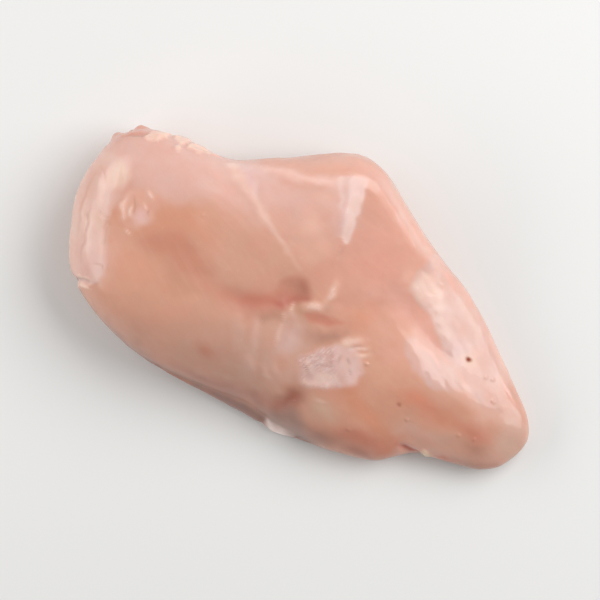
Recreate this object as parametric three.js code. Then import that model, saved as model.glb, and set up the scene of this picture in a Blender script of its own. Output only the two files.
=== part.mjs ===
// A raw chicken breast: one boneless, skinless fillet that lies on its flat bone side with the smooth
// skin side up. The thick wing end is at -X, the thin tail tip at +X, the steep keel side at +Y and the
// thin belly side at -Y. Millimetres, +Z up. The origin is on the surface it lies on, under its middle.
import * as THREE from "three";

// Height of the crown, which falls in a smooth slope from the wing end to the tail.
const THICK_END = 32;
const THIN_END = 11;
const SLOPE_FROM = -52;
const SLOPE_TO = 92;

// The outline seen from above, as stations round the rim, which is the widest line of the side:
// [x, y, height of the rim, fullness, skirt].
// A full station keeps its height far out before the shoulder turns down; a low one slopes gently.
// The skirt is the share of the way in from the rim that is only a thin flap, with no flesh on it.
const STATIONS = [
  [79.9, -2, 4.5, 5, 0], // tail tip
  [77.3, 8, 5, 4.5, 0],
  [61, 18.6, 5.5, 3, 0],
  [40.5, 29.4, 6.5, 2.5, 0],
  [26.5, 33.7, 8, 6, 0],
  [14, 37.9, 11, 18, 0],
  [-6.5, 45.6, 12, 15, 0], // keel corner
  [-19, 42.2, 11, 9, 0],
  [-34, 30, 8, 4.6, 0],
  [-46.5, 20.2, 9, 4.4, 0],
  [-61.5, 16.9, 10, 4.2, 0],
  [-75.5, 10.8, 11, 4.4, 0],
  [-80.25, -3.5, 12, 5, 0], // wing end
  [-76.6, -21, 12, 5, 0],
  [-63, -38.6, 11, 4.2, 0],
  [-38, -45.6, 8, 3, 0],
  [-12, -43.8, 3.5, 2.7, 0.05],
  [2, -42.1, 2, 2.7, 0.09], // the thin skirt on the belly side
  [14, -40.4, 1.5, 2.6, 0.05],
  [32, -35.1, 3.5, 2.6, 0],
  [45, -29.6, 4, 3, 0],
  [54.5, -20.4, 4.5, 3.2, 0], // the cut between the belly side and the tip
  [74, -12.2, 4.5, 4.6, 0],
];

// The side tucks in below the rim to the flat face that it lies on, by this share of the rim's height.
const TUCK = 0.75;
// How softly the flesh runs out on to the skirt, and how much thicker than its rim the skirt is.
const SKIRT_FILLET = 0.5;
const SKIRT_THICK = 1.4;
const SKIRT_FULLNESS = 30;

// Furrows (positive depth) and ridges (negative depth) along short paths on the upper side, in
// millimetres, with the share of the depth that is left at the start and at the end of the path.
const FURROWS = [
  // the long soft furrow that runs from the wing end to the dimple
  { path: [[-50, -11], [-34, -13.5], [-18, -12.4], [-9, -7], [-4, -1]], depth: 1.1, width: 5, left: [0, 1] },
  // its short continuation past the dimple
  { path: [[-3, -4], [3, -4.6], [12, -0.5]], depth: 0.6, width: 2.6, left: [1, 0] },
  // the valley between the belly lobe and the tail lobe
  { path: [[-4, -2], [3, -9], [8.5, -17], [13, -25], [14, -31]], depth: 0.9, width: 5.2, left: [0.2, 1] },
  // the fold where the belly lobe rolls over the skirt
  { path: [[12, -23], [12.8, -28.1], [8, -34.4], [3.4, -36.8], [-8, -40.6]], depth: 0.6, width: 2, left: [0.1, 0] },
  // the shallow groove in the tail
  { path: [[20, 17], [32, 12.6], [40, 10.6], [47, 9.4]], depth: 0.6, width: 3.2, left: [0, 0] },
  // the crest of the tail
  { path: [[31, 7], [36, 3], [42, 0], [50, 1], [60, 3], [70, 3.5]], depth: -1.8, width: 7, left: [0.3, 0.2] },
  // the cut between the tail lobe and the tip
  { path: [[47.5, -20], [51.1, -19.8], [55, -19.2], [57, -18.4]], depth: 1.6, width: 1.6, left: [0, 1] },
  // the edge where the flat top turns down to the keel side
  { path: [[-39, 23.2], [-25.4, 28.7], [-18.5, 31.5], [-14.9, 34.8]], depth: -0.6, width: 2.2, left: [0, 0] },
  // the swell that runs down from the keel corner
  { path: [[-4.6, 20], [-9.4, 29], [-14, 38], [-16, 43]], depth: -1.5, width: 5, left: [0.4, 0.3] },
  // the nick in the rim of the wing end
  { path: [[-64, -38.9], [-60.5, -36.6], [-57.5, -35]], depth: 1.4, width: 1.3, left: [1, 0] },
];

// Round hollows (positive depth) and swells (negative depth) on the upper side: centre, radii and depth.
const HOLLOWS = [
  { at: [-6, -0.4], radii: [6, 4.5], depth: 1 }, // the dimple in the middle
  { at: [-24, -27], radii: [24, 13], depth: -1.5 }, // the belly lobe
  { at: [15, -39], radii: [4, 1.4], depth: -0.5 }, // the torn lip of the skirt
  { at: [-77, 9.5], radii: [3, 3], depth: -0.5 }, // lumps of fat on the rim of the wing end
  { at: [-69, 13.2], radii: [3.6, 2.2], depth: -1 },
  { at: [-62, 16.8], radii: [3.4, 2], depth: -1 },
  { at: [-53, 18.8], radii: [5, 1.6], depth: -0.8 },
];

// Mesh: cells along and across the upper side, and rings down the side that tucks in.
const CELLS_LONG = 84;
const CELLS_WIDE = 48;
const TUCK_RINGS = 4;
const RIM_CELLS = 2 * (CELLS_LONG + CELLS_WIDE);
// Where the grid's corner at +X +Y lies on the outline, as a share of the way round from the tail tip.
const CORNER_AT = 0.035;
const PATH_STEPS = 40;

const smoothstep = THREE.MathUtils.smoothstep;
const lerp = THREE.MathUtils.lerp;

const rimLine = new THREE.CatmullRomCurve3(
  STATIONS.map(([x, y, rim]) => new THREE.Vector3(x, y, rim)),
  true,
  "catmullrom",
);
rimLine.arcLengthDivisions = 1200;
const rimShape = new THREE.CatmullRomCurve3(
  STATIONS.map(([, , , fullness, skirt]) => new THREE.Vector3(fullness, skirt, 0)),
  true,
  "catmullrom",
);

// Everything about the rim at a share of the way round it.
function rimAt(around) {
  const t = rimLine.getUtoTmapping(((around % 1) + 1) % 1);
  const { x, y, z } = rimLine.getPoint(t);
  const { x: fullness, y: skirt } = rimShape.getPoint(t);
  return { x, y, z, fullness, skirt: Math.max(0, skirt) };
}

// A point of the smooth upper side: share is 0 in the middle and 1 at the rim.
function upper(around, share) {
  const rim = rimAt(around);
  const x = rim.x * share;
  const y = rim.y * share;
  const crown = lerp(THICK_END, THIN_END, smoothstep(x, SLOPE_FROM, SLOPE_TO));
  const flesh = 1 - (share / (1 - rim.skirt)) ** rim.fullness;
  const shoulder = Math.sqrt((flesh + Math.hypot(flesh, SKIRT_FILLET * rim.skirt)) / 2);
  const flap = rim.z + SKIRT_THICK * Math.sqrt(1 - share ** SKIRT_FULLNESS);
  return [x, y, lerp(flap, crown, shoulder)];
}

// A point of the side below the rim: share is 0 at the rim and 1 at the edge of the flat face.
function tucked(around, share) {
  const rim = rimAt(around);
  const angle = (share * Math.PI) / 2;
  const inward = 1 - (TUCK * rim.z * (1 - Math.cos(angle))) / Math.hypot(rim.x, rim.y);
  return [rim.x * inward, rim.y * inward, rim.z * (1 - Math.sin(angle))];
}

const furrows = FURROWS.map(({ path, ...rest }) => {
  const curve = new THREE.SplineCurve(path.map(([x, y]) => new THREE.Vector2(x, y)));
  return { points: curve.getSpacedPoints(PATH_STEPS), ...rest };
});

// Distance from a place to a furrow's path, and the share of the way along it where it is nearest.
function nearest(points, place) {
  const found = { distance: Infinity, along: 0 };
  for (let k = 1; k < points.length; k++) {
    const step = points[k].clone().sub(points[k - 1]);
    const reach = place.clone().sub(points[k - 1]).dot(step) / step.lengthSq();
    const t = THREE.MathUtils.clamp(reach, 0, 1);
    const distance = points[k - 1].clone().addScaledVector(step, t).distanceTo(place);
    if (distance < found.distance) {
      found.distance = distance;
      found.along = (k - 1 + t) / (points.length - 1);
    }
  }
  return found;
}

// How far the surface is pushed out (or in, if negative) at a place, seen from above.
function relief(x, y) {
  const place = new THREE.Vector2(x, y);
  let out = 0;
  for (const { points, depth, width, left } of furrows) {
    const { distance, along } = nearest(points, place);
    const atStart = lerp(left[0], 1, smoothstep(along, 0, 0.35));
    const atEnd = lerp(left[1], 1, smoothstep(1 - along, 0, 0.35));
    out -= depth * atStart * atEnd * Math.exp(-((distance / width) ** 2));
  }
  for (const { at, radii, depth } of HOLLOWS) {
    out -= depth * Math.exp(-(((x - at[0]) / radii[0]) ** 2) - ((y - at[1]) / radii[1]) ** 2);
  }
  return out;
}

// How far round the grid's own edge a cell lies, as a share, from the corner at +X +Y: a and b run
// from -1 to 1 along and across the grid, and one of them is at its end.
function edgeShare(a, b) {
  const corners = [0, CELLS_LONG, CELLS_LONG + CELLS_WIDE, 2 * CELLS_LONG + CELLS_WIDE];
  if (b === 1) return (corners[0] + ((1 - a) / 2) * CELLS_LONG) / RIM_CELLS;
  if (a === -1) return (corners[1] + ((1 - b) / 2) * CELLS_WIDE) / RIM_CELLS;
  if (b === -1) return (corners[2] + ((1 + a) / 2) * CELLS_LONG) / RIM_CELLS;
  return (corners[3] + ((1 + b) / 2) * CELLS_WIDE) / RIM_CELLS;
}

// The closed shell: a rectangular grid drawn out to the outline for the upper side, rings for the side
// that tucks in, and a fan for the flat face below.
function filletGeometry() {
  const points = [];
  const reliefShare = [];
  const faces = [];
  const add = (point, share) => {
    points.push(...point);
    return reliefShare.push(share) - 1;
  };
  const quad = (p, q, r, s) => {
    const at = (n) => new THREE.Vector3().fromArray(points, 3 * n);
    if (at(p).distanceTo(at(r)) < at(q).distanceTo(at(s))) faces.push(p, q, r, p, r, s);
    else faces.push(p, q, s, q, r, s);
  };

  const grid = [];
  const rim = [];
  for (let i = 0; i <= CELLS_LONG; i++) {
    grid.push([]);
    for (let j = 0; j <= CELLS_WIDE; j++) {
      const a = (2 * i) / CELLS_LONG - 1;
      const b = (2 * j) / CELLS_WIDE - 1;
      const ring = Math.max(Math.abs(a), Math.abs(b), 1e-9);
      const around = Math.abs(a) === ring ? edgeShare(a / ring, b / ring) : edgeShare(a / ring, Math.sign(b));
      grid[i].push(add(upper(CORNER_AT + around, Math.sin((ring * Math.PI) / 2)), 1));
      if (ring === 1) rim[Math.round(around * RIM_CELLS) % RIM_CELLS] = grid[i][j];
    }
  }
  for (let i = 0; i < CELLS_LONG; i++) {
    for (let j = 0; j < CELLS_WIDE; j++) {
      quad(grid[i][j], grid[i + 1][j], grid[i + 1][j + 1], grid[i][j + 1]);
    }
  }
  let above = rim;
  for (let k = 1; k <= TUCK_RINGS; k++) {
    const share = k / TUCK_RINGS;
    const below = above.map((_, n) => add(tucked(CORNER_AT + n / RIM_CELLS, share), 1 - share));
    below.forEach((_, n) => {
      const next = (n + 1) % RIM_CELLS;
      quad(above[n], below[n], below[next], above[next]);
    });
    above = below;
  }
  const middle = add([0, 0, 0], 0);
  above.forEach((index, n) => faces.push(index, middle, above[(n + 1) % RIM_CELLS]));

  const geometry = new THREE.BufferGeometry();
  geometry.setAttribute("position", new THREE.Float32BufferAttribute(points, 3));
  geometry.setIndex(faces);
  geometry.computeVertexNormals();
  const { position, normal } = geometry.attributes;
  reliefShare.forEach((share, n) => {
    const at = new THREE.Vector3().fromBufferAttribute(position, n);
    const out = new THREE.Vector3().fromBufferAttribute(normal, n);
    at.addScaledVector(out, share * relief(at.x, at.y));
    position.setXYZ(n, at.x, at.y, at.z);
  });
  geometry.computeVertexNormals();
  return geometry;
}

const flesh = new THREE.MeshStandardMaterial({ color: 0xdfa995, roughness: 0.35, metalness: 0 });
const breast = new THREE.Mesh(filletGeometry(), flesh);
breast.name = "chicken_breast";

const group = new THREE.Group();
group.add(breast);

export default group;
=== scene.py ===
import math

import bpy
import numpy as np
from mathutils import Matrix, Vector


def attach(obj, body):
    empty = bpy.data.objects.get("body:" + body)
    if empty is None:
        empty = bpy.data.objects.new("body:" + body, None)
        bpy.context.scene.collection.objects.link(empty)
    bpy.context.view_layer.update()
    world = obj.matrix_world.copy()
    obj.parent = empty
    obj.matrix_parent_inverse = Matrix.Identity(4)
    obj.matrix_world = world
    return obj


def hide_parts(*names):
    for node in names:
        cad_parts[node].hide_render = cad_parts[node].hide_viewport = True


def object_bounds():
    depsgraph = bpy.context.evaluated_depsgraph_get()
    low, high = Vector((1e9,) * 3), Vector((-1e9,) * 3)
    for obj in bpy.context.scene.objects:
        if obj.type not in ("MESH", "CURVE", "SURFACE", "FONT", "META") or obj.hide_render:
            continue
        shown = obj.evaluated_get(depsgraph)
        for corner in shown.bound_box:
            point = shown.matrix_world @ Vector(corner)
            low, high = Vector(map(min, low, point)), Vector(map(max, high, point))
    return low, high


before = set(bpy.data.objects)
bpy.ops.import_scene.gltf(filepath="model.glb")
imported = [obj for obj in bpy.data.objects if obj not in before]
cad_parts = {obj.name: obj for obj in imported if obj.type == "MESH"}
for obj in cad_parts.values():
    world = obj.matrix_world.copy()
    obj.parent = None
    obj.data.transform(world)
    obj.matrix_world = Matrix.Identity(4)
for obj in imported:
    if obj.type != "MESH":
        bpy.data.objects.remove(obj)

scene = bpy.context.scene
cad_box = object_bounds()
MM = 0.001


# The camera looks almost straight down, as over a table, and leans a little towards the keel side.
# It is rolled so that the fillet lies from the upper left to the lower right of the picture.
view_roll = math.radians(36)  # from the picture's right to the fillet's long axis
view_lean = Vector((-3, 62, 1200)) * MM  # from the fillet to the camera
view_middle = Vector((-3.2, -2.3, 13)) * MM
view_width = 186 * MM

camera_data = bpy.data.cameras.new("camera")
camera_data.lens = camera_data.sensor_width * view_lean.length / view_width
camera = bpy.data.objects.new("camera", camera_data)
back = view_lean.normalized()
right = Vector((-math.sin(view_roll), math.cos(view_roll), 0)).cross(back).normalized()
turn = Matrix((right, back.cross(right), back)).transposed().to_4x4()
camera.matrix_world = Matrix.Translation(view_middle + view_lean) @ turn
scene.collection.objects.link(camera)
scene.camera = camera


# The floor is a plain pale matt sheet, far larger than the view. Two soft lamps light it: a big one
# like a window over the keel side, and a long low one beyond the wing end.
floor_size = 3.0
floor_mesh = bpy.data.meshes.new("floor")
corners = floor_size / 2 * np.array([(-1, -1, 0), (1, -1, 0), (1, 1, 0), (-1, 1, 0)], float)
corners[:, 2] = -0.1 * MM
floor_mesh.from_pydata(corners.tolist(), [], [(0, 1, 2, 3)])
floor = bpy.data.objects.new("floor", floor_mesh)
scene.collection.objects.link(floor)

floor_paint = bpy.data.materials.new("floor_paint")
floor_paint.use_nodes = True
floor_shader = floor_paint.node_tree.nodes["Principled BSDF"]
floor_shader.inputs["Base Color"].default_value = (0.78, 0.78, 0.77, 1)
floor_shader.inputs["Roughness"].default_value = 0.7
floor_mesh.materials.append(floor_paint)


def lamp(name, place, size, power, colour=(1, 1, 1)):
    """A rectangular soft lamp at place that faces the fillet; size is its width and height in metres."""
    data = bpy.data.lights.new(name, "AREA")
    data.shape = "RECTANGLE"
    data.size, data.size_y = size
    data.energy = power
    data.color = colour
    light = bpy.data.objects.new(name, data)
    facing = Vector(place).to_track_quat("Z", "Y")
    light.matrix_world = Matrix.Translation(place) @ facing.to_matrix().to_4x4()
    scene.collection.objects.link(light)


lamp("keel_lamp", (0.26, 0.54, 0.55), (0.85, 0.50), 6.2)
lamp("wing_lamp", (-0.50, -0.24, 0.26), (1.0, 0.30), 2.3)

world = bpy.data.worlds.new("studio")
world.use_nodes = True
world.node_tree.nodes["Background"].inputs["Color"].default_value = (1.0, 0.985, 0.97, 1)
world.node_tree.nodes["Background"].inputs["Strength"].default_value = 0.38
scene.world = world
scene.view_settings.view_transform = "Standard"


# The fillet is the whole breast muscle from one side of the bird, cut off the bone and skinned. It is
# soft, wet and slightly see-through, so it slumps to a low mound with a flat face underneath.
THICK_END = 32  # height of the crown over the wing end, in millimetres
THIN_END = 11
SLOPE_FROM = -52
SLOPE_TO = 92

# Stations round the rim: x, y, height of the rim, fullness of the shoulder, share that is bare skirt.
STATIONS = np.array([
    (79.9, -2, 4.5, 5, 0),
    (77.3, 8, 5, 4.5, 0),
    (61, 18.6, 5.5, 3.0, 0),
    (40.5, 29.4, 6.5, 2.5, 0),
    (26.5, 33.7, 8, 6, 0),
    (14, 37.9, 11, 18, 0),
    (-6.5, 45.6, 12, 15, 0),
    (-19, 42.2, 11, 9, 0),
    (-34, 30, 8, 4.6, 0),
    (-46.5, 20.2, 9, 4.4, 0),
    (-61.5, 16.9, 10, 4.2, 0),
    (-75.5, 10.8, 11, 4.4, 0),
    (-80.25, -3.5, 12, 5, 0),
    (-76.6, -21, 12, 5, 0),
    (-63, -38.6, 11, 4.2, 0),
    (-38, -45.6, 8, 3, 0),
    (-12, -43.8, 3.5, 2.7, 0.05),
    (2, -42.1, 2, 2.7, 0.09),
    (14, -40.4, 1.5, 2.6, 0.05),
    (32, -35.1, 3.5, 2.6, 0),
    (45, -29.6, 4, 3, 0),
    (54.5, -20.4, 4.5, 3.2, 0),
    (74, -12.2, 4.5, 4.6, 0),
])
TUCK = 0.75  # how far the side tucks in below the rim, as a share of the rim's height
SKIRT_FILLET = 0.5  # how softly the flesh runs out on to the skirt
SKIRT_THICK = 1.4  # how much thicker than its rim the skirt is
SKIRT_FULLNESS = 30
CORNER_AT = 0.035  # where the grid's corner is, as a share of the way round from the tail tip
STEEP_FROM = 0.7  # nowhere nearer the middle is the shoulder steep

# Cells along and across the upper side, rings down the tucked side and rings across the underside.
LONG, WIDE, TUCK_RINGS, UNDER_RINGS = 348, 208, 10, 14
RIM = 2 * (LONG + WIDE)


def catmull_rom(a, b, c, d, t):
    """The smooth curve from b to c, with a before and d after them: cubic in t, through both ends."""
    return 0.5 * (2 * b + (c - a) * t + (2 * a - 5 * b + 4 * c - d) * t**2 + (3 * b - a - 3 * c + d) * t**3)


def smoothstep(value, low, high):
    """0 below low, 1 above high, and 3t^2 - 2t^3 between them."""
    t = np.clip((value - low) / (high - low), 0, 1)
    return t * t * (3 - 2 * t)


def rim_at(around, samples=4800):
    """The rows of STATIONS on their closed smooth curve, at a share of the way round by length."""
    place = np.arange(samples + 1) / samples * len(STATIONS)
    first = place.astype(int)
    rows = [STATIONS[(first + step) % len(STATIONS)] for step in (-1, 0, 1, 2)]
    curve = catmull_rom(*rows, (place - first)[:, None])
    length = np.append(0, np.cumsum(np.hypot(*np.diff(curve[:, :2], axis=0).T)))
    share = (around % 1) * length[-1]
    return [np.interp(share, length, curve[:, n]) for n in range(STATIONS.shape[1])]


def upper_side(around, share):
    """The smooth upper side: the crown's height times the root of 1 - share^fullness, over the rim."""
    x, y, rim, fullness, skirt = rim_at(around)
    skirt = np.maximum(0, skirt)
    crown = THICK_END + (THIN_END - THICK_END) * smoothstep(x * share, SLOPE_FROM, SLOPE_TO)
    flesh = 1 - (share / (1 - skirt)) ** fullness
    shoulder = np.sqrt((flesh + np.hypot(flesh, SKIRT_FILLET * skirt)) / 2)
    flap = rim + SKIRT_THICK * np.sqrt(1 - share**SKIRT_FULLNESS)
    return np.stack([x * share, y * share, flap + (crown - flap) * shoulder], -1)


def tucked_side(around, share):
    """A quarter of an ellipse from the rim down and in to the edge of the flat face."""
    x, y, rim, _, _ = rim_at(around)
    angle = share * np.pi / 2
    inward = 1 - TUCK * rim * (1 - np.cos(angle)) / np.hypot(x, y)
    return np.stack([x * inward, y * inward, rim * (1 - np.sin(angle))], -1)


def steep_length(around, share, steps=24):
    """How much longer the skin is from the middle out to a point than it looks from above, counted only
    where it is steeper than 45 degrees."""
    shares = STEEP_FROM + np.maximum(0, share - STEEP_FROM)[..., None] * np.linspace(0, 1, steps)
    step = np.diff(upper_side(around[..., None], shares), axis=-2)
    length, run = (np.linalg.norm(step[..., :n], axis=-1) for n in (3, 2))
    return np.maximum(0, length - math.sqrt(2) * run).sum(axis=-1)


# The grid of the upper side, drawn out from a rectangle to the outline, and the rings below it.
a, b = np.meshgrid(np.linspace(-1, 1, LONG + 1), np.linspace(-1, 1, WIDE + 1), indexing="ij")
ring = np.maximum(np.maximum(np.abs(a), np.abs(b)), 1e-9)
u, v = a / ring, b / ring
edge = np.select(
    [v >= 1 - 1e-12, u <= -1 + 1e-12, v <= -1 + 1e-12],
    [(1 - u) / 2 * LONG, LONG + (1 - v) / 2 * WIDE, LONG + WIDE + (1 + u) / 2 * LONG],
    2 * LONG + WIDE + (1 + v) / 2 * WIDE,
)
grid_around, grid_share = CORNER_AT + edge / RIM, np.sin(ring * np.pi / 2)
top = upper_side(grid_around, grid_share).reshape(-1, 3)
around = CORNER_AT + np.arange(RIM) / RIM
tuck_share = np.arange(TUCK_RINGS + 1) / TUCK_RINGS
tucked = np.stack([tucked_side(around, share) for share in tuck_share])
under_share = np.linspace(1, 0, UNDER_RINGS + 1)[1:-1]
under = tucked[-1] * under_share[:, None, None]
points = np.concatenate([top, tucked[1:].reshape(-1, 3), under.reshape(-1, 3), [(0, 0, 0)]])
first_under = len(top) + TUCK_RINGS * RIM

grid = np.arange(len(top)).reshape(LONG + 1, WIDE + 1)
rim_loop = np.concatenate([grid[::-1, -1][:-1], grid[0, ::-1][:-1], grid[:, 0][:-1], grid[-1, :][:-1]])
ring_count = TUCK_RINGS + UNDER_RINGS - 1
rings = np.concatenate([rim_loop[None], len(top) + np.arange(ring_count * RIM).reshape(-1, RIM)])
top_quads = np.stack([grid[:-1, :-1], grid[1:, :-1], grid[1:, 1:], grid[:-1, 1:]], -1).reshape(-1, 4)
ahead = np.roll(rings, -1, axis=1)
side_quads = np.stack([rings[:-1], rings[1:], ahead[1:], ahead[:-1]], -1).reshape(-1, 4)
middle = np.full(RIM, len(points) - 1)
fan = np.stack([rings[-1], middle, ahead[-1]], -1)

# Where each point lies in plan, but on the tucked side as far outside the rim as it is down from it, so
# that a pattern runs on over the rim without being drawn out.
plan_x, plan_y = points[:, 0].copy(), points[:, 1].copy()
down = np.cumsum(np.linalg.norm(np.diff(tucked, axis=0), axis=2), axis=0)
rim_out = tucked[0, :, :2] / np.linalg.norm(tucked[0, :, :2], axis=1, keepdims=True)
laid_flat = (tucked[0, :, :2] + rim_out * down[..., None]).reshape(-1, 2)
plan_x[len(top):first_under], plan_y[len(top):first_under] = laid_flat.T
is_under = np.arange(len(points)) >= first_under

# How much further out each point would lie if the steep shoulder above it was laid flat as well. The
# low rim of the skirt is left as it is.
outward = points[:, :2] / np.maximum(np.linalg.norm(points[:, :2], axis=1, keepdims=True), 1e-9)
hidden = np.zeros(len(points))
above_rim = steep_length(grid_around, grid_share) * smoothstep(rim_at(grid_around)[2], 2.5, 5)
hidden[:len(top)] = above_rim.ravel()
hidden[len(top):-1] = np.tile(hidden[rim_loop], ring_count)


def smooth_path(places, closed=False, samples=80):
    """A smooth curve through a few places, open or closed, as evenly spaced places."""
    before, after = (places[-1:], places[:2]) if closed else (places[:1], places[-1:])
    rows = np.array([*before, *places, *after], float)
    pieces = len(rows) - 3
    place = np.linspace(0, pieces, 20 * pieces + 1)
    first = np.minimum(place.astype(int), pieces - 1)
    curve = catmull_rom(*(rows[first + step] for step in range(4)), (place - first)[:, None])
    length = np.append(0, np.cumsum(np.hypot(*np.diff(curve, axis=0).T)))
    even = np.linspace(0, length[-1], samples)
    return np.stack([np.interp(even, length, curve[:, n]) for n in range(2)], -1)


def nearest(path, reach):
    """Which points are within reach of a path, their distance, share of the way along it and side of it."""
    low, high = path.min(axis=0) - reach, path.max(axis=0) + reach
    near = np.flatnonzero((plan_x > low[0]) & (plan_x < high[0]) & (plan_y > low[1]) & (plan_y < high[1]))
    x, y = plan_x[near], plan_y[near]
    distance = np.full(len(near), np.inf)
    reached = np.zeros(len(near))
    on_left = np.zeros(len(near), bool)
    for k, (start, end) in enumerate(zip(path[:-1], path[1:])):
        step = end - start
        t = np.clip(((x - start[0]) * step[0] + (y - start[1]) * step[1]) / (step @ step), 0, 1)
        here = np.hypot(x - start[0] - t * step[0], y - start[1] - t * step[1])
        closer = here < distance
        reached = np.where(closer, (k + t) / (len(path) - 1), reached)
        on_left = np.where(closer, step[0] * (y - start[1]) > step[1] * (x - start[0]), on_left)
        distance = np.where(closer, here, distance)
    return near, distance, reached, on_left


def along(places, width, ends=(1, 1), left_width=1):
    """A soft stroke along a path: 1 on it, falling off sideways as a bell curve of that width.
    ends is the share that remains at its start and end, left_width how much wider its left side is."""
    near, distance, reached, on_left = nearest(smooth_path(places), 3 * np.max(width) * max(1, left_width))
    at_start = ends[0] + (1 - ends[0]) * smoothstep(reached, 0, 0.35)
    at_end = ends[1] + (1 - ends[1]) * smoothstep(1 - reached, 0, 0.35)
    taper = width if np.isscalar(width) else np.interp(reached, np.linspace(0, 1, len(width)), width)
    taper = np.where(on_left, taper * left_width, taper)
    stroke = np.zeros(len(points))
    stroke[near] = at_start * at_end * np.exp(-((distance / taper) ** 2))
    return stroke


def within(places, soft):
    """A patch with a smooth outline: 1 inside and 0 outside, changing over a soft border.
    A point is inside where a line drawn from it crosses the outline an odd number of times."""
    path = smooth_path(places, closed=True, samples=120)
    near, distance, _, _ = nearest(path, 2 * soft)
    x, y = plan_x[near], plan_y[near]
    inside = np.zeros(len(near), bool)
    for (x0, y0), (x1, y1) in zip(path[:-1], path[1:]):
        if y0 != y1:
            inside ^= ((y0 > y) != (y1 > y)) & (x < x0 + (x1 - x0) * (y - y0) / (y1 - y0))
    patch = np.zeros(len(points))
    patch[near] = smoothstep(np.where(inside, distance, -distance), -soft, soft)
    return patch


def spot(x, y, radius_x, radius_y, turn=0, edge=2):
    """A soft oval patch: 1 in its middle, falling off as exp(-r^edge), turned by an angle in degrees."""
    c, s = math.cos(math.radians(turn)), math.sin(math.radians(turn))
    u = ((plan_x - x) * c + (plan_y - y) * s) / radius_x
    v = ((plan_y - y) * c - (plan_x - x) * s) / radius_y
    return np.exp(-np.hypot(u, v) ** edge)


def lumps(size_x, size_y, seed, turn=0):
    """Soft random lumps from -1 to 1: random heights on a grid of cells, smoothly joined."""
    c, s = math.cos(math.radians(turn)), math.sin(math.radians(turn))
    u = (plan_x * c + plan_y * s) / size_x + 500
    v = (plan_y * c - plan_x * s) / size_y + 500
    heights = np.random.default_rng(seed).uniform(-1, 1, (257, 257))
    i, j = np.floor(u).astype(int), np.floor(v).astype(int)
    du, dv = (w * w * (3 - 2 * w) for w in (u - i, v - j))
    corner = [[heights[(i + a) % 257, (j + b) % 257] for b in (0, 1)] for a in (0, 1)]
    low = corner[0][0] + (corner[1][0] - corner[0][0]) * du
    high = corner[0][1] + (corner[1][1] - corner[0][1]) * du
    return low + (high - low) * dv


def vertex_normals(places):
    """Each vertex's normal: the sum of the cross products of the diagonals of the quads round it."""
    total = np.zeros_like(places)
    for quads in (top_quads, side_quads):
        p, q, r, s = (places[quads[:, n]] for n in range(4))
        cross = np.cross(r - p, s - q)
        for n in range(4):
            np.add.at(total, quads[:, n], cross)
    return total / np.maximum(np.linalg.norm(total, axis=1, keepdims=True), 1e-12)


# Furrows and ridges as they are cut: a path, depth (negative for a ridge), width and what is left.
relief = -(
    1.1 * along([(-50, -11), (-34, -13.5), (-18, -12.4), (-9, -7), (-4, -1)], 5, (0, 1))
    + 0.6 * along([(-3, -4), (3, -4.6), (12, -0.5)], 2.6, (1, 0))
    + 0.9 * along([(-4, -2), (3, -9), (8.5, -17), (13, -25), (14, -31)], 5.2, (0.2, 1))
    + 0.42 * along(
        [(12, -23), (12.8, -28.1), (11, -31), (8, -34.4), (3.4, -36.8)], (3.4, 2.6, 1.8), (0.1, 0), 1.4,
    )
    + 0.6 * along([(20, 17), (32, 12.6), (40, 10.6), (47, 9.4)], 3.2, (0, 0))
    + 1.1 * along([(47.5, -20.8), (51.1, -20.6), (54.4, -20), (56.4, -19.8)], (0.9, 1.2, 0.9), (0, 0.6))
    - 0.6 * along([(-39, 23.2), (-32.6, 26.4), (-25.4, 28.7), (-18.5, 31.5), (-14.9, 34.8)], 2.2, (0, 0))
    - 1.5 * along([(-3.6, 20), (-8.4, 29), (-13, 38), (-15, 43)], (2.6, 3.4, 3.6), (0.4, 0.3), 2.4)
    + 1.4 * along([(-64, -38.9), (-60.5, -36.6), (-57.5, -35)], (1.3, 0.9, 0.5), (1, 0))
    + 1.0 * spot(-6, -0.4, 6, 4.5)
    - 1.5 * spot(-24, -27, 24, 13)
    - 1.8 * along([(31, 7), (36, 3), (42, 0), (50, 1), (60, 3), (70, 3.5)], 7, (0.3, 0.2))
)


# The colour of the muscle is laid on in zones, one over another like washes of paint.
def tone(red, green, blue):
    """A colour given as screen values from 0 to 255, as the light it sends back."""
    value = np.array([red, green, blue]) / 255
    return np.where(value > 0.04045, ((value + 0.055) / 1.055) ** 2.4, value / 12.92)


wash = np.tile(tone(212, 158, 135), (len(points), 1))
fat, film, blood = (np.zeros(len(points)) for _ in range(3))


def lay(colour, mask):
    """Mixes a tone into the wash by a mask."""
    wash[:] += (tone(*colour) - wash) * np.clip(mask, 0, 1)[:, None]


def brush(colour, amount, rise, *strokes):
    """Soft strokes of one tone, each a path and its width, that stand proud of the skin by rise."""
    marks = np.zeros(len(points))
    for places, width in strokes:
        marks = np.maximum(marks, along(places, width, (0.3, 0.3)))
    lay(colour, amount * marks)
    relief[:] += rise * marks
    return marks


# From here on a place is where the camera sees it, level with the middle of the view, so that what is
# high or low on the mound still shows in its own place.
eye = (view_middle + view_lean) / MM
lift = (points[:, 2] - view_middle.z / MM) / (eye.z - points[:, 2])
seen_x = plan_x + (plan_x - eye.x) * lift
seen_y = plan_y + (plan_y - eye.y) * lift


def fray(*layers):
    """Sets out every place as it is seen, with the steep shoulder laid flat, and shakes it by layers of
    lumps, each a size, reach and seed, so that borders wander."""
    plan_x[:] = seen_x + hidden * outward[:, 0]
    plan_y[:] = seen_y + hidden * outward[:, 1]
    shake_x = sum(reach * lumps(size, size, seed) for size, reach, seed in layers)
    shake_y = sum(reach * lumps(size, size, seed + 1) for size, reach, seed in layers)
    plan_x[:] += shake_x
    plan_y[:] += shake_y


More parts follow.
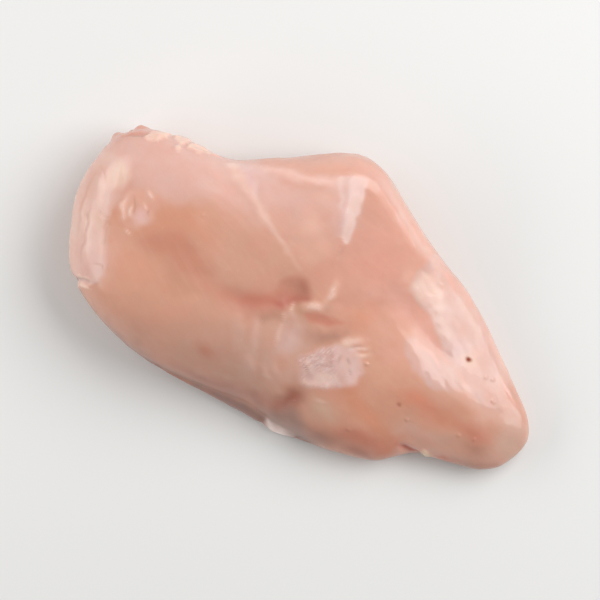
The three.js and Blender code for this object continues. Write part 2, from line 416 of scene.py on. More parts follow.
fray((9, 2.0, 41), (3, 0.8, 43))
rim_share = np.ones(len(points))
rim_share[:len(top)] = np.sin(ring * np.pi / 2).ravel()
pale_rim = smoothstep(rim_share, 0.84, 0.97) * smoothstep(plan_y, -40, -24)

# The rim is paler, except on the belly side, and the keel side is rosy with paler film over its slope.
lay((222, 182, 169), 0.7 * pale_rim)
lay((223, 162, 143), 0.9 * spot(10, 23, 20, 17, -20))
lay((222, 168, 149), 0.9 * spot(-24, 34, 18, 8, 20))
lay((219, 176, 165), 0.9 * spot(-26, 20, 20, 8, 18))
lay((226, 188, 182), 0.7 * spot(-37, 21.5, 8, 4, 20))
lay((232, 188, 172), 0.6 * spot(-15.5, 27.5, 3.4, 4.6, -30))
# A darker tan band down the keel side's wall is painted shade: the shadow where another fillet lay close
# against it.
lay((208, 148, 128), 0.9 * along(
    [(-47, 27), (-38, 34), (-29, 41), (-18, 48), (-8, 50), (3, 47), (13, 43)], 5, (0.3, 0.3),
))
lay((222, 174, 156), 0.7 * along([(-24, 13.6), (-12, 12), (-2, 11.4)], 3, (0.4, 0.2)))
lay((234, 186, 168), 0.5 * spot(-5.6, 16, 3, 2.4))
lay((238, 190, 172), 0.7 * spot(-12.4, 19.4, 5.6, 3.8, 20))
lay((234, 180, 162), 0.6 * spot(14.6, 14, 3, 4))
lay((234, 184, 164), 0.6 * spot(19.4, 23.4, 2.6, 4.4))

# A pinkish haze of film lies over the wing end and thins out on to tan muscle, darkest at the furrow.
haze = within([
    (-90, -4), (-86, 12), (-74, 22), (-62, 26), (-53.3, 26), (-44.9, 20.5), (-37.5, 16.4),
    (-36, 12), (-44, 6.4), (-54, 0.4), (-61, -3), (-66, -12), (-74, -12),
], 3.6)
lay((219, 176, 164), haze)
lay((209, 148, 120), 0.9 * within([
    (-66, -15), (-58, -17), (-48, -10), (-36, -4), (-41, 4), (-56, -4.4), (-62, -8),
], 3))
lay((222, 170, 148), 0.5 * spot(-41, 1.4, 3.4, 3))
lay((199, 134, 109), 0.9 * within([
    (-53.6, -14.5), (-47.5, -9), (-37.7, -8.2), (-30, -13), (-39.7, -18), (-48, -18.9),
], 3))
lay((217, 159, 133), 0.8 * within([
    (-66, -30), (-58, -20), (-34, -18), (-21, -18), (-22, -27), (-41, -36), (-55, -39),
], 4))
lay((202, 160, 146), 0.55 * spot(-35, 13.4, 9, 3.8, -20))

# The belly side is painted greyer, as shade, and browner along the far side of the furrow.
lay((197, 153, 134), 0.8 * spot(-8, -28, 24, 12, -8))
lay((206, 156, 133), 0.7 * spot(-24, 0, 14, 7, 20))
lay((190, 136, 111), 0.7 * along(
    [(-48, -19.2), (-38, -18.6), (-31, -17.6), (-24, -16.6), (-16, -15)], 3.6, (0.3, 0.6),
))
lay((204, 160, 140), 0.5 * (spot(-16, -28.4, 4, 2.4) + spot(-21.6, -34, 3, 2)))

# Orange streaks run along the tail, with paler muscle and a pink valley between them.
lay((216, 158, 132), 0.5 * spot(41.6, -3.4, 4.4, 1.8))
lay((192, 118, 92), 0.5 * spot(44.4, -19.4, 3, 2, 30))
lay((220, 166, 140), 0.7 * spot(30, -8, 16, 9))
lay((208, 148, 122), 0.8 * spot(34, -18, 15, 6, 25))
lay((208, 142, 112), 0.8 * along([(22, -14), (30, -17.4), (38, -19.4), (45, -22)], 3))
lay((207, 138, 111), 0.8 * spot(56, -5.4, 13, 4, 6))
lay((222, 142, 114), 0.7 * spot(45, -6.6, 6, 3.2, 8))
lay((186, 112, 90), 0.7 * spot(66.8, -4.4, 5, 3.4, -10))
lay((224, 167, 151), 0.9 * along([(18, 17), (27, 16.4), (35, 14.4), (42, 11.6)], (3.4, 3.4, 2.4)))
lay((212, 142, 114), 0.65 * spot(15.6, 3.6, 4.2, 4.4))
lay((226, 170, 150), 0.6 * spot(30, 2, 6, 4))
lay((196, 153, 135), 0.7 * spot(59, -12, 9, 2.2, 16))
lay((208, 168, 152), 0.7 * spot(50, -14.4, 7, 2.4, 14))
lay((222, 178, 162), 0.8 * spot(62, 4, 10, 2.4, 2))
lay((204, 170, 148), 0.8 * spot(22.5, -26.6, 5, 3.4, 15))
lay((201, 163, 144), 0.9 * spot(77, 0, 6, 9))

# All along the belly side it darkens towards its edge: painted shade.
lay((188, 112, 90), 0.75 * spot(38, -26.4, 12, 3.4, 25))
lay((144, 104, 92), 0.7 * spot(26, -35, 8, 2.8, 20))
lay((158, 92, 76), 0.6 * spot(39.6, -30.4, 5, 1.8, 28))
lay((170, 122, 102), 0.7 * spot(68.4, -9, 5.4, 3.2, 15))
lay((166, 124, 108), 0.7 * along([(60, -17), (68, -14.5), (76, -10)], 2, (0.2, 0.6)))
lay((148, 98, 80), 0.85 * along(
    [(-66, -45), (-54, -49), (-42, -50), (-30, -50), (-20, -48), (-8, -44)], 6.4, (0.3, 0.6),
))
lay((204, 156, 136), 0.7 * spot(-5, -30, 6, 3, -15))
lay((188, 140, 116), 0.8 * spot(0, -7.6, 9, 3.4, -8))

# The finer features have crisper borders. The skin under them is softly uneven, as it slumped.
fray((2.2, 0.5, 45))
relief += 0.26 * lumps(17, 13, 3, 20) + 0.13 * lumps(6, 4.5, 5, -20) + 0.045 * lumps(2.6, 2.0, 8)


# A thin seam of fat runs between two parts of the muscle, from a broad pale root on the rim.
seam = along([(-45, 19.4), (-35, 15.4), (-27, 12.2), (-20, 9.5), (-9, 5.6)], (1.8, 1.4, 1.1, 0.9), (1, 0.5))
seam *= 1 - 0.3 * smoothstep(plan_x, -42, -36) - 0.1 * smoothstep(plan_x, -34, -10)
seam_root = within([
    (-46.5, 18.3), (-46.3, 21.6), (-41, 23), (-36.5, 20.5), (-32.6, 15), (-38, 16.2), (-43, 17.8),
], 1.3)
lay((223, 187, 182), 0.8 * seam_root)
lay((232, 195, 180), 0.85 * seam)
lay((234, 203, 188), 0.8 * spot(-45.6, 19.8, 2.2, 1.3, 20))
relief += 0.1 * seam + 0.1 * seam_root


# Soft lumps of fat lie on the wing end's rim, over a ruffled edge of darker tissue. Further round, the
# rim has a nick with a little fat on both sides of it.
end_lump = within([
    (-71.6, 9.8), (-72.2, 12), (-71.8, 14.4), (-70.4, 16), (-67.6, 15.8), (-65.8, 14),
    (-67.2, 12.4), (-69.4, 10.4),
], 0.7)
middle_lump = within([
    (-65.6, 15.6), (-69, 17.6), (-68.4, 19), (-65.4, 19.6), (-61, 17.4), (-60.4, 15.6), (-62.6, 14.8),
], 0.7)
seam_lump = within([
    (-58.6, 15.2), (-60.4, 17.8), (-60.6, 19.8), (-56, 19.8), (-52, 21), (-53.4, 18), (-55.4, 16),
], 0.7)
rim_fat = end_lump + middle_lump + 0.9 * seam_lump + spot(-61.7, 13.2, 1.4, 1, 20, 3)
ruffle = along([(-84, 3), (-82, 10), (-78.6, 15), (-75, 18), (-71, 20.6)], 4, (0.3, 0.3))
relief += 0.9 * rim_fat * np.clip(0.8 + 0.6 * lumps(2.2, 1.8, 11, 20), 0, 1.2)
relief += 1.2 * ruffle * (0.3 + 0.8 * lumps(2.4, 6, 13, 40))
relief += 1.3 * spot(-85, 5.4, 1.8, 1.6) + 1.2 * spot(-80.6, 12.8, 2.2, 1.8)
relief -= 0.8 * spot(-83.4, 8.6, 1.5, 1.5)
relief -= 0.8 * along([(-80.4, 4.6), (-77.4, 7.8), (-74.2, 10), (-71.2, 13), (-69, 16)], 0.8, (0.2, 0.2))
lay((204, 146, 128), 0.8 * ruffle)
lay((210, 156, 140), 0.6 * along([(-80, 1), (-78, 6.4), (-74.4, 10)], 2.4, (0.3, 0.3)))
brush((190, 136, 118), 0.5, 0, ([(-79.4, 5), (-76.4, 8), (-73.4, 10.4), (-70.6, 13.4)], 1.1))
brush((170, 96, 78), 0.8, 0, ([(-65.6, -40.4), (-63.5, -38.6), (-60.5, -36.8), (-57.4, -34.9)], 0.6))
nick_fat = along([(-64.4, -41.6), (-63.2, -40.2), (-60.2, -38.4), (-57.4, -37.2)], 0.8, (1, 0.2))
nick_fat += along([(-66, -38.8), (-64.8, -37.8), (-61.6, -35.6), (-58.4, -34.2)], 0.6, (1, 0.2))
fat += rim_fat + 0.9 * nick_fat


# Round the wing end's shoulder the clear film over the muscle is loose. It lies in a broad pale band, pale
# film with a painted highlight over it, with long creases that run the way it bends.
shoulder_film_and_highlight = within([
    (-83, -2), (-75, 0.8), (-70, 1.4), (-68.2, -1.4), (-67.4, -6), (-66.6, -11), (-66.6, -15),
    (-65, -18.4), (-62.6, -22.4), (-58.8, -27.4), (-57, -31.4), (-58, -35.6), (-62, -39.6),
    (-69, -40), (-76, -32), (-81, -21), (-84, -10),
], 0.8)
shoulder_film_and_highlight *= 1 - smoothstep(plan_y, -2, 2.5)
lay((223, 186, 173), shoulder_film_and_highlight * (0.85 + 0.25 * lumps(4, 2, 49, -55)))
lay((228, 198, 178), 0.7 * spot(-71.2, -4.2, 3.4, 4.2, 10, 4))
lay((213, 170, 154), 0.8 * spot(-78, -10, 2.8, 7, 8))
lay((226, 180, 170), 0.7 * spot(-62, -30, 4.5, 7, -20))
relief += shoulder_film_and_highlight * (0.08 + 0.08 * lumps(7, 1.8, 31, -58))
lay((214, 164, 142), 0.6 * spot(-68.4, -19, 4, 2.8))
lay((202, 150, 132), 0.6 * spot(-66.2, -7, 2.4, 5))
# The creases are painted darker, as shade, and the ridges beside them paler, as painted highlights.
brush((204, 154, 138), 0.55, -0.08,
      ([(-77.8, -8), (-76.8, -14), (-74, -20.5), (-70.4, -27)], 0.5),
      ([(-73, -17), (-70.4, -22.5), (-67.5, -28), (-64.8, -33)], 0.4),
      ([(-77.8, -5.5), (-75.2, -6.5), (-72.8, -9)], 0.35))
brush((196, 142, 122), 0.6, -0.14,
      ([(-67, -17.2), (-64.4, -20.6), (-61, -25.6)], 0.45),
      ([(-70, -16), (-67.6, -16.6), (-65, -16.4)], 0.35),
      ([(-67.8, -18), (-65.4, -18), (-63.8, -17.2)], 0.35),
      ([(-61.4, -31), (-59, -30), (-57.6, -31)], 0.4))
brush((236, 203, 188), 0.5, 0.07,
      ([(-71, -18.4), (-67, -26), (-63, -32.6)], 0.9),
      ([(-66.4, -18.6), (-62.4, -25), (-59.6, -30.6)], 0.8),
      ([(-74.8, -4), (-72.6, -11), (-70, -15.6)], 1.0),
      ([(-76, -14), (-73, -20), (-70, -25)], 0.7),
      ([(-68.4, -16), (-66, -18.8)], 0.6))


# Beside it the film is puckered in a small ring of wrinkles: the pale ones are partly painted highlight,
# and the dark ones painted shade.
pucker = within([
    (-65.8, -6), (-62.8, -3.4), (-58.6, -2.2), (-55.6, -4.6), (-55.2, -9.6), (-57.2, -13.8),
    (-61.4, -15.6), (-65, -12),
], 1.6)
lay((220, 172, 154), 0.6 * pucker)
lay((226, 190, 186), 0.8 * spot(-58.6, -10.4, 2.4, 2.8, -20))
film += 0.3 * brush((238, 200, 184), 0.7, 0.2,
                    ([(-65.2, -6.4), (-65, -9.6), (-63, -13), (-60.4, -14.6)], 0.9),
                    ([(-61.4, -2), (-58.2, -3.8)], 0.8),
                    ([(-59.8, -6.2), (-56.6, -7.8)], 0.6),
                    ([(-62.6, -8.6), (-61.2, -12.4)], 0.6),
                    ([(-60.4, -16.4), (-57.4, -16.8)], 0.5))
lay((206, 150, 124), 0.6 * spot(-61, -13.8, 1.8, 1.4))
brush((192, 138, 114), 0.6, -0.15,
      ([(-63.2, -6.4), (-61.8, -8.6), (-60.4, -11)], 0.45),
      ([(-57.4, -6.4), (-56.4, -9)], 0.4))


# On the keel side the film is whole and stretched over the edge: a wedge-shaped fold from the corner down,
# and pale lines where the flat top turns down. The wedge is pale film under a painted highlight, and the
# pale line along the keel rim is a painted highlight.
wedge = within([
    (-15.4, 35.2), (-12.4, 37.8), (-9, 40), (-7.4, 38.6), (-5, 33), (-3, 26.6), (-1.4, 21.4),
    (-3.6, 21), (-7, 24.6), (-11.4, 30.2),
], 0.5)
wedge_haze = within([
    (-21, 31), (-14.6, 37), (-9.2, 40.4), (-7, 38), (-4, 27), (-5, 21), (-9, 23), (-14, 31),
], 2)
lay((228, 186, 176), 0.7 * wedge_haze)
lay((235, 204, 194), wedge * (0.85 + 0.3 * lumps(12, 1.3, 48, -60)))
lay((220, 180, 172), 0.6 * wedge * along([(-12, 36.5), (-10, 31), (-7.4, 26), (-5, 22)], (1.2, 1.0, 0.6)))
lay((216, 179, 170), 0.9 * wedge * spot(-10.6, 37.4, 4, 4))
brush((236, 198, 186), 0.95, 0, ([(-40, 23.6), (-33, 25.8), (-25.4, 28.4), (-19, 31.4), (-14, 35.6)], 1.3))
brush((224, 190, 178), 0.8, 0,
      ([(-6, 42.4), (0, 41), (4, 39.4), (9.5, 36.6), (15, 34.4), (21, 32.4), (27, 30.6)], (0.9, 1.2, 2.4)))
lay((214, 172, 162), 0.55 * along([(-14, 41), (-6, 42), (2, 40.4), (9, 36.6)], 2.2, (0.4, 0.4)))


# Towards the tail it is wet and white over a broad band along the rim, and over a tongue that turns back
# from it: pale film with a painted highlight over it. A pink valley lies between the two.
band = within([
    (24, 37), (21.4, 28), (22, 23), (26.4, 19), (32.2, 17.6), (36, 15.2), (40.3, 12.8), (43.4, 11),
    (47, 9.6), (44, 8.4), (38, 9), (34, 9.2), (31.2, 8.2), (31.6, 5.6), (33.8, 2.6), (38, 1.2),
    (43, 0.2), (46.8, 0), (49.8, 1.6), (52, 3.8), (56, 5.4), (61, 4.2), (66, 5.6), (72, 6.4),
    (79, 7.4), (84, 12), (68, 27), (52, 36), (36, 41),
], 1.1)
band *= smoothstep(plan_x + 2 * lumps(3, 3, 54), 17, 22.5) * (1 - 0.85 * smoothstep(plan_x, 57, 74))
lay((213, 174, 163), band * (0.9 + 0.2 * lumps(7, 2.4, 47, -28)))
lay((223, 188, 176), 0.7 * band * smoothstep(lumps(6, 3, 53, -28), -0.3, 0.7) * (plan_y > 11))
# A painted highlight at the band's near end, on the slope up to the rim.
lay((243, 211, 198), 0.85 * within([
    (22.8, 26.8), (23, 21.6), (30, 20.2), (34, 21.2), (31, 26), (27, 28.6),
], 2))
lay((228, 190, 176), 0.6 * spot(34, 6, 2, 2.6))
lay((194, 154, 142), 0.7 * spot(44, 6.6, 4, 2, -20))
lay((208, 162, 148), 0.5 * spot(44.4, 11, 3, 1.4, -30))
lay((222, 174, 156), 0.5 * spot(49.6, 16.6, 2.4, 1.6))
lay((204, 164, 148), 0.7 * spot(73, 5, 6, 3.6, -30))
lay((210, 174, 170), 0.7 * spot(45.4, 14.4, 3.4, 3.6))
lay((208, 160, 144), 0.8 * spot(40.6, 8.7, 5.6, 1.7, -10))
lay((214, 172, 160), 0.6 * spot(47.4, 6, 5, 2.6, -10))
lay((210, 164, 148), 0.7 * spot(66, 11, 6.6, 3, -28))
lay((236, 202, 190), 0.6 * spot(54, 6, 2.6, 1.6))
lay((212, 150, 120), 0.5 * spot(59, 0.6, 4, 2))
lay((208, 162, 146), 0.6 * along([(22, 40), (30, 36), (38, 31.5)], 3.4, (0.5, 0.3)))
lay((198, 150, 132), 0.7 * along([(63, 18), (69, 14), (76, 9)], 3.6, (0.2, 0.8)))
brush((232, 178, 164), 0.6, -0.05,
      ([(27, 31.4), (31, 30.6), (34, 28.4)], 0.7),
      ([(63, 14.8), (67, 12), (71, 10.8)], 0.6),
      ([(36, 9.2), (40, 8.4), (44, 6.4)], 0.6))
relief += 0.06 * band * lumps(2.6, 1.6, 55, -28)


# Between belly and tail it hangs in soft folds, like a curtain, below a whiter piece.
curtain = within([
    (-8, -11.6), (-2.4, -11), (3, -20), (7, -27), (0, -31), (-10, -30), (-16, -20), (-13, -12),
], 3.5)
curtain_folds = lumps(11, 2.0, 25, -55)
lay((206, 168, 152), 0.6 * spot(6.6, -12, 3, 6) + 0.5 * spot(8, -21, 3, 5))
lay((208, 168, 152), 0.6 * curtain * np.clip(0.45 + 0.7 * curtain_folds, 0, 1))
relief += 0.08 * curtain * curtain_folds
middle_film = within([
    (-3.2, -9.6), (-1, -6.6), (1.6, -5.4), (3.6, -7.4), (5, -10.4), (5.4, -14.5), (4.4, -18.4),
    (0.6, -20.1), (-2, -16.7), (-3.2, -12.7),
], 1.8)
lay((210, 174, 163), 0.6 * middle_film)
lay((216, 180, 172), 0.6 * spot(1.6, -13.6, 2.2, 5, 6))
brush((214, 174, 160), 0.6, 0.2,
      ([(-7.8, -23.9), (-4.8, -26.8), (-1.2, -28.6)], 1.0),
      ([(-1.1, -25.4), (1.6, -27), (4.5, -27.6)], 0.9),
      ([(1.5, -22.6), (4, -24.8), (7.1, -25.8)], 0.9),
      ([(-11, -14), (-8.4, -19), (-5, -24)], 1.0))

# Duller muscle shows on both sides of that piece.
lay((180, 131, 113), 0.8 * along([(6.6, -9), (10, -6.8), (14.4, -3)], 2.8, (0.5, 0.7)))
lay((180, 131, 110), 0.8 * along([(-14, -14.4), (-9.4, -13), (-5.8, -9.8), (-1.6, -9)], 2.4, (0.6, 0.5)))


# Next to that is a patch where it came loose and crinkled: fine slanting creases at one end, long ribbons
# at the top, a bright fold below and smooth at the other end. The ribbons and the bright fold are pale film
# partly painted as highlight, and the dark creases are painted shade.
patch_outline = [
    (7.4, -17), (9.4, -13.6), (12, -10), (14.4, -7), (16.8, -5), (19.8, -3.8), (22, -5), (24.4, -7.2),
    (26, -10), (26, -12.6), (24.4, -15.6), (21.6, -18.2), (17.4, -21), (13, -22.8), (11.2, -21.6),
    (9.2, -19),
]
patch = within(patch_outline, 0.6)
patch_along = 0.81 * plan_x + 0.59 * plan_y  # from its crinkled end to its smooth one
crinkled = patch * (1 - smoothstep(patch_along, 3.5, 11)) * (1 - spot(15, -19, 4, 2.6, 40, 3))
crinkles = crinkled * np.maximum(0, 1 - 2.6 * np.abs(lumps(2.8, 0.95, 21, 81)))
patch_cover = within(patch_outline, 1.3) * (1 - 0.1 * smoothstep(patch_along, 9, 16))
lay((231, 198, 193), 0.9 * patch_cover * np.clip(0.85 + 0.35 * lumps(3, 1.6, 23, -50), 0, 1))
lay((200, 156, 146), 0.6 * crinkled)
lay((216, 180, 170), 0.5 * patch * spot(17, -16, 8, 3.4, 28, 4))
lay((242, 210, 196), 0.5 * within([
    (14.6, -19.8), (15.4, -16.4), (18.6, -15), (21.4, -16), (20.6, -18.6), (17.2, -20.8),
], 0.9))
lay((200, 158, 146), 0.5 * spot(13.2, -19.4, 1.4, 1.2))
film += 0.55 * crinkles
film += 0.25 * brush((238, 202, 186), 0.75, 0.22,
                    ([(14.8, -6.4), (17.4, -3), (20.8, -0.6)], 1.3),
                    ([(19.4, -4.4), (23, -1.6)], 0.8),
                    ([(21.6, -5.8), (24.4, -3.4)], 0.7),
                    ([(11.2, -23), (13.2, -22.6), (16, -21.2)], 0.9),
                    ([(9, -15.6), (11.4, -17.4), (13.6, -18)], 0.6))
brush((180, 140, 130), 0.5, -0.15,
      ([(17.8, -5.2), (19.4, -3.6), (21.2, -2.2)], 0.5),
      ([(13.8, -9.4), (15.2, -11.4), (16.6, -13)], 0.4),
      ([(11.6, -12.4), (13, -14.8)], 0.35),
      ([(16.8, -8.6), (18.2, -11)], 0.35),
      ([(19.6, -8.2), (21.2, -10)], 0.35),
      ([(22, -10.8), (23.6, -12)], 0.35),
      ([(10.2, -17.6), (12.4, -19.4)], 0.35),
      ([(15.6, -14.2), (17.4, -12.8)], 0.35))
brush((216, 182, 164), 0.6, 0.15, ([(18.7, -24.4), (20.4, -24.2), (22.6, -23.2)], 0.6))
relief += 0.1 * within(patch_outline, 1.6) + 0.2 * crinkles


# The dimple in the middle shows darker muscle, and red streaks of it run out on both sides. Blisters and
# tags of film stand round it and catch the light, their paleness partly a painted highlight, and a few
# small wet beads lie about.
lay((206, 144, 122), 0.6 * along([(-34, -15.6), (-26, -15.4), (-18, -14.6)], 2.4, (0.2, 0.6)))
lay((194, 116, 94), 0.8 * along([(-21.4, -14.2), (-15, -11.6), (-9, -7)], (2.6, 3.1, 2.8), (0.4, 1)))
dimple = within([
    (-11.4, -1.6), (-9.8, 1.6), (-6.6, 4), (-4, 3.2), (-1, 0.4), (-1.8, -1.8), (-4.4, -5), (-8.5, -6.4),
], 1.5)
lay((197, 135, 113), 0.85 * dimple)
lay((182, 116, 95), 0.6 * spot(-4, 1.4, 3.2, 1.6, -42))
lay((180, 98, 82), 0.8 * along([(-1.4, -0.6), (-4.4, -3.2), (-7, -6.4)], (1.2, 1.7, 2.4), (0.7, 1)))
lay((188, 138, 112), 0.7 * spot(-0.8, -5, 3.2, 2, -40))
lay((196, 148, 126), 0.6 * spot(2, -7, 3, 1.6))
lay((194, 146, 128), 0.5 * spot(4.6, 0.4, 1.8, 1.4))
lay((202, 126, 104), 0.7 * within([
    (0.8, -4.4), (3, -2.9), (6.5, -1.4), (12.2, 0.3), (10, -2.4), (6.4, -4.6), (2.4, -5.8),
], 1.1))
tags = (
    0.75 * spot(1.7, -1.2, 3, 1.7, 36, 3)
    + 0.7 * along([(3, 8.6), (3.7, 5.4), (3.4, 2.4)], (1.1, 1.5, 0.9), (0.5, 0.5))
    + 0.5 * along([(-4, -4.6), (-3.2, -6.8)], 0.6)
    + 0.3 * along([(-4.2, -8.8), (-3.4, -10.2)], 0.5)
    + 0.5 * along([(-3, -12), (-1.8, -15.6), (-0.8, -18)], 0.5, (0.6, 0.3))
)
lay((242, 208, 190), 0.8 * tags)
film += 0.45 * tags
relief += 0.5 * tags
beads = [
    (-43, 1.6, 0.6), (61.5, -7.5, 0.6), (66, -5.2, 0.5), (46, -12.6, 0.5), (33, -26, 0.5),
    (-26, -7.6, 0.5), (25.4, -6.2, 0.6), (57.5, 12, 0.6), (59.5, 13.4, 0.5), (64, 7.6, 0.5),
]
for x, y, size in beads:
    relief += 0.3 * spot(x, y, size, size, 0, 3)


# Below the belly lobe's fold the breast ends in a skirt, a thin see-through flap with a bright torn lip.
# Behind it, the tail lobe's rim is slit, with a crumb of fat in the slit. The fold, and the belly lobe's
# lower edge along the skirt, are painted a darker red-brown as shade.
skirt = within([
    (14, -31), (10.8, -33.6), (8, -36), (3, -37.8), (-4, -39.6), (-12, -41.8), (-16, -46), (0, -47),
    (16, -44), (26, -39), (26, -36), (21, -33), (17, -31.2),
], 2.2)
lay((166, 99, 80), 0.9 * along(
    [(12.4, -23.6), (13, -27), (12.2, -31), (9.6, -34)], (3.0, 3.6, 2.6, 1.6), (0.3, 0.5),
))
lay((158, 126, 116), 0.85 * skirt)
lay((176, 112, 94), 0.7 * along(
    [(10, -32.6), (3, -35), (-5, -37.6), (-15, -40.4), (-27, -42)], (2.4, 2.4, 1.6, 1.3), (0.7, 0.1),
))
lay((160, 132, 126), 0.8 * along([(-10, -43), (0, -41), (7, -39.8)], (1.4, 2, 1.4), (0.2, 0.4)))
lay((158, 98, 82), 0.5 * spot(5, -35.8, 4.5, 1.4, -22))
lip = along(
    [(10.8, -37.2), (12.8, -38.7), (15, -39.2), (17.4, -38.5), (19.8, -37.6)],
    (1.2, 1.8, 1.8, 1.0), (0.6, 0.4),
)
lip *= 1 - smoothstep(points[:, 2], 4, 7)
lay((250, 236, 230), lip)
relief += 0.5 * lip - 0.6 * spot(9.6, -39, 1.6, 1.6)
lay((196, 122, 100), 0.6 * spot(-18, -31.6, 3, 1.8))
lay((192, 98, 80), 0.9 * along([(47.8, -20.6), (51, -20.2), (55, -19.5)], 0.9, (0.4, 1)))
lay((204, 126, 106), 0.7 * along([(58.5, -17.2), (62.5, -16), (66, -14.4)], 0.9, (0.3, 0.3)))
crumb = spot(56.8, -18.1, 1.6, 1, 20, 3)
lay((224, 200, 170), crumb)
fat += 0.4 * crumb
relief += 0.6 * crumb


# Two small blood spots mark the tail, the larger in a pale ring.
lay((234, 202, 182), 0.7 * spot(50.6, 13.8, 2.6, 1.8))
lay((206, 150, 124), 0.6 * spot(50.2, 13.9, 1.4, 1.2))
blood += spot(50.2, 13.9, 1.0, 0.8) + 0.45 * spot(40.7, -10, 0.7, 0.6)

lay((208, 156, 138), is_under)
fat, film, blood = (np.clip(mask, 0, 1) for mask in (fat, film, blood))

# Where the film is whole it is wet and shines; where it is gone, the bare muscle is dull.
bare = (
    within([
        (-3, 39.5), (6, 36.5), (16, 32), (22, 27), (21, 20), (14, 13), (2, 14), (-0.5, 22), (-3, 30),
    ], 1.5)
    + within([(-17, 34), (-11.5, 28), (-5.5, 19.6), (-12, 18), (-24, 26)], 1.5)
    + within([(-56, -20), (-56, -26), (-55, -36), (-48, -38), (-46, -28), (-50, -18)], 1.5)
    + within([(-44, 10), (-38, 15.6), (-30, 12.4), (-24, 8), (-32, 5), (-42, 5)], 2)
    + within([(14, 8), (29, 9), (31, 13), (38, 13), (33, 17.6), (22, 17), (14, 15)], 1.2)
    + spot(-6, -6, 5, 4, 0, 3)
)
wet = np.clip(0.5 + 0.25 * lumps(9, 7, 61), 0, 1) * (1 - 0.8 * np.clip(bare, 0, 1) * (1 - wedge))
wet = np.maximum(wet, 0.3 * band + 0.45 * shoulder_film_and_highlight)
wet *= 1 - smoothstep(blood, 0.05, 0.4)
plan_x[:], plan_y[:] = seen_x, seen_y

# Each point is raised or sunk by the relief; the tucked side holds less and less of it on the way down.
held = np.ones(len(points))
held[len(top):first_under] = np.repeat(1 - tuck_share[1:], RIM)
held[is_under] = 0
points += vertex_normals(points) * (held * relief)[:, None]

# Underneath, the muscle was cut from the bone: flat at its edge and faintly furrowed along its length.
fade_in = smoothstep(1 - under_share, 0, 0.35)
under_ridge = along([(-60, -6), (-20, 4), (30, 2), (60, -2)], 7, (0, 0))
under_rise = 0.5 + 0.5 * lumps(26, 6, 51, -8) + 0.9 * under_ridge
points[first_under:-1, 2] += np.repeat(fade_in, RIM) * np.maximum(0, under_rise[first_under:-1])
points[-1, 2] += max(0, under_rise[-1])

# The finished skin is drawn into the solid's own box, which its lumps may overstep by a hair.
low, high = (np.array(corner) / MM for corner in cad_box)
points = low + (points - points.min(axis=0)) * (high - low) / np.ptp(points, axis=0)

fillet_mesh = bpy.data.meshes.new("fillet")
faces = np.concatenate([top_quads.ravel(), side_quads.ravel(), fan.ravel()])
quad_count = len(top_quads) + len(side_quads)
loop_starts = np.concatenate([np.arange(quad_count) * 4, quad_count * 4 + np.arange(len(fan)) * 3])
fillet_mesh.vertices.add(len(points))
fillet_mesh.vertices.foreach_set("co", (points * MM).ravel())
fillet_mesh.loops.add(len(faces))
fillet_mesh.loops.foreach_set("vertex_index", faces)
fillet_mesh.polygons.add(len(loop_starts))
fillet_mesh.polygons.foreach_set("loop_start", loop_starts)
fillet_mesh.update(calc_edges=True)
fillet_mesh.validate()
fillet_mesh.shade_smooth()
fillet = bpy.data.objects.new("fillet", fillet_mesh)
scene.collection.objects.link(fillet)
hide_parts("chicken_breast")
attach(fillet, "root")

colours = np.concatenate([wash, np.ones((len(points), 1))], axis=1)
fillet_mesh.attributes.new("wash", "FLOAT_COLOR", "POINT").data.foreach_set("color", colours.ravel())
for name, values in (("fat", fat), ("film", film), ("blood", blood), ("wet", wet), ("crinkled", crinkled)):
    values[is_under] = 0
    fillet_mesh.attributes.new(name, "FLOAT", "POINT").data.foreach_set("value", values)

# The muscle's fibres fan out from the shoulder joint, beyond the wing end: across them their place is
# the angle round that joint, and along them the distance from it.
joint_x, joint_y = -150, 30
from_joint = np.hypot(plan_x - joint_x, plan_y - joint_y)
angle = np.arctan2(plan_y - joint_y, plan_x - joint_x)
fibre_place = np.stack([from_joint, angle * 150, points[:, 2]], -1) * MM
fibre_attribute = fillet_mesh.attributes.new("fibre_place", "FLOAT_VECTOR", "POINT")
fibre_attribute.data.foreach_set("vector", fibre_place.ravel())

# Raw flesh under a wet skin of film: light goes in and comes out reddened. The washes are broken up by
# soft mottling and by fine muscle fibres.
flesh = bpy.data.materials.new("flesh")
flesh.use_nodes = True
nodes, links = flesh.node_tree.nodes, flesh.node_tree.links
shader = nodes["Principled BSDF"]
shader.inputs["Subsurface Weight"].default_value = 0.35
shader.inputs["Subsurface Radius"].default_value = (1.0, 0.4, 0.25)
shader.inputs["Subsurface Scale"].default_value = 3 * MM
shader.inputs["Coat Roughness"].default_value = 0.1
shader.inputs["IOR"].default_value = 1.4


def stored(name, output="Fac"):
    """The output of a value, vector or colour that is stored on the mesh."""
    node = nodes.new("ShaderNodeAttribute")
    node.attribute_name = name
    return node.outputs[output]


def noise(size, stretch=1, detail=3, roughness=0.55, place=None, turn=0):
    """Noise whose features are size metres across and stretch times as long, turned by some degrees."""
    mapping = nodes.new("ShaderNodeMapping")
    mapping.vector_type = "TEXTURE"
    mapping.inputs["Rotation"].default_value = (0, 0, math.radians(turn))
    mapping.inputs["Scale"].default_value = (size * stretch, size, size)
    links.new(place or nodes.new("ShaderNodeTexCoord").outputs["Object"], mapping.inputs["Vector"])
    node = nodes.new("ShaderNodeTexNoise")
    node.inputs["Scale"].default_value = 1
    node.inputs["Detail"].default_value = detail
    node.inputs["Roughness"].default_value = roughness
    links.new(mapping.outputs["Vector"], node.inputs["Vector"])
    return node.outputs["Fac"]


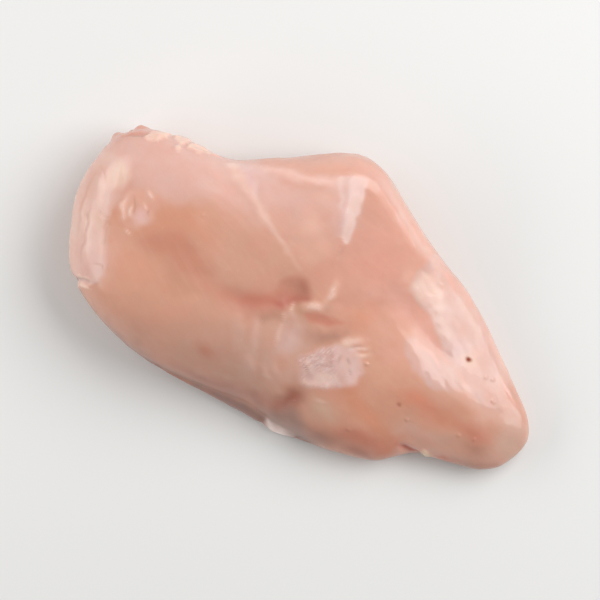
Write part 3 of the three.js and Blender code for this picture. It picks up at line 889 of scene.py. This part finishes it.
def ranged(value, low, high, from_low=0, from_high=1):
    """A value carried from one range to another, and kept inside it."""
    node = nodes.new("ShaderNodeMapRange")
    node.inputs["From Min"].default_value = from_low
    node.inputs["From Max"].default_value = from_high
    node.inputs["To Min"].default_value = low
    node.inputs["To Max"].default_value = high
    links.new(value, node.inputs["Value"])
    return node.outputs["Result"]


def mixed(amount, first, second):
    """Two colours mixed by an amount; the second is a plain colour."""
    node = nodes.new("ShaderNodeMix")
    node.data_type = "RGBA"
    links.new(amount, node.inputs["Factor"])
    links.new(first, node.inputs["A"])
    node.inputs["B"].default_value = (*second, 1)
    return node.outputs["Result"]


def mathed(operation, first, second):
    """Two values joined by one operation."""
    node = nodes.new("ShaderNodeMath")
    node.operation = operation
    for socket, value in zip(node.inputs, (first, second)):
        if isinstance(value, bpy.types.NodeSocket):
            links.new(value, socket)
        else:
            socket.default_value = value
    return node.outputs["Value"]


fibre_run = stored("fibre_place", "Vector")
mottle = noise(8 * MM, detail=4)
fibres = noise(0.7 * MM, 18, detail=2, place=fibre_run)
strands = noise(2.4 * MM, 9, detail=3, place=fibre_run)
colour = mixed(ranged(mottle, 0, 0.22, 0.42, 0.7), stored("wash", "Color"), tone(216, 144, 122))
colour = mixed(ranged(strands, 0, 0.05, 0.5, 0.75), colour, tone(238, 204, 188))
colour = mixed(ranged(fibres, 0.0, 0.04, 0.45, 0.75), colour, tone(186, 120, 100))
hatching = noise(0.5 * MM, 5, detail=2, turn=80)
hatched = mathed("MULTIPLY", stored("crinkled"), ranged(hatching, 0, 1, 0.5, 0.66))
grain = noise(0.7 * MM, detail=3)
film_edge = mathed("ADD", stored("film"), ranged(grain, -0.12, 0.12, 0.3, 0.7))
film_amount = mathed("MAXIMUM", ranged(film_edge, 0, 0.8, 0.2, 0.75), mathed("MULTIPLY", hatched, 0.4))
colour = mixed(film_amount, colour, tone(240, 218, 212))
fat_edge = mathed("ADD", stored("fat"), ranged(noise(1.6 * MM), -0.3, 0.3, 0.3, 0.7))
fat_amount = ranged(fat_edge, 0, 0.75, 0.25, 0.95)
colour = mixed(fat_amount, colour, tone(238, 202, 184))
colour = mixed(ranged(stored("blood"), 0, 1, 0.1, 0.8), colour, tone(140, 48, 20))
links.new(colour, shader.inputs["Base Color"])
links.new(ranged(stored("wet"), 0.55, 0.36), shader.inputs["Roughness"])
wet_amount = mathed("ADD", stored("wet"), ranged(noise(2 * MM), -0.12, 0.12, 0.3, 0.7))
links.new(wet_amount, shader.inputs["Coat Weight"])

bump = nodes.new("ShaderNodeBump")
bump.inputs["Distance"].default_value = 0.04 * MM
bump.inputs["Strength"].default_value = 1
height = mathed("ADD", mathed("MULTIPLY", strands, 0.25), mathed("MULTIPLY", fibres, 0.25))
height = mathed("ADD", height, mathed("MULTIPLY", film_amount, 1.6))
links.new(height, bump.inputs["Height"])
links.new(bump.outputs["Normal"], shader.inputs["Normal"])
links.new(bump.outputs["Normal"], shader.inputs["Coat Normal"])
fillet_mesh.materials.append(flesh)
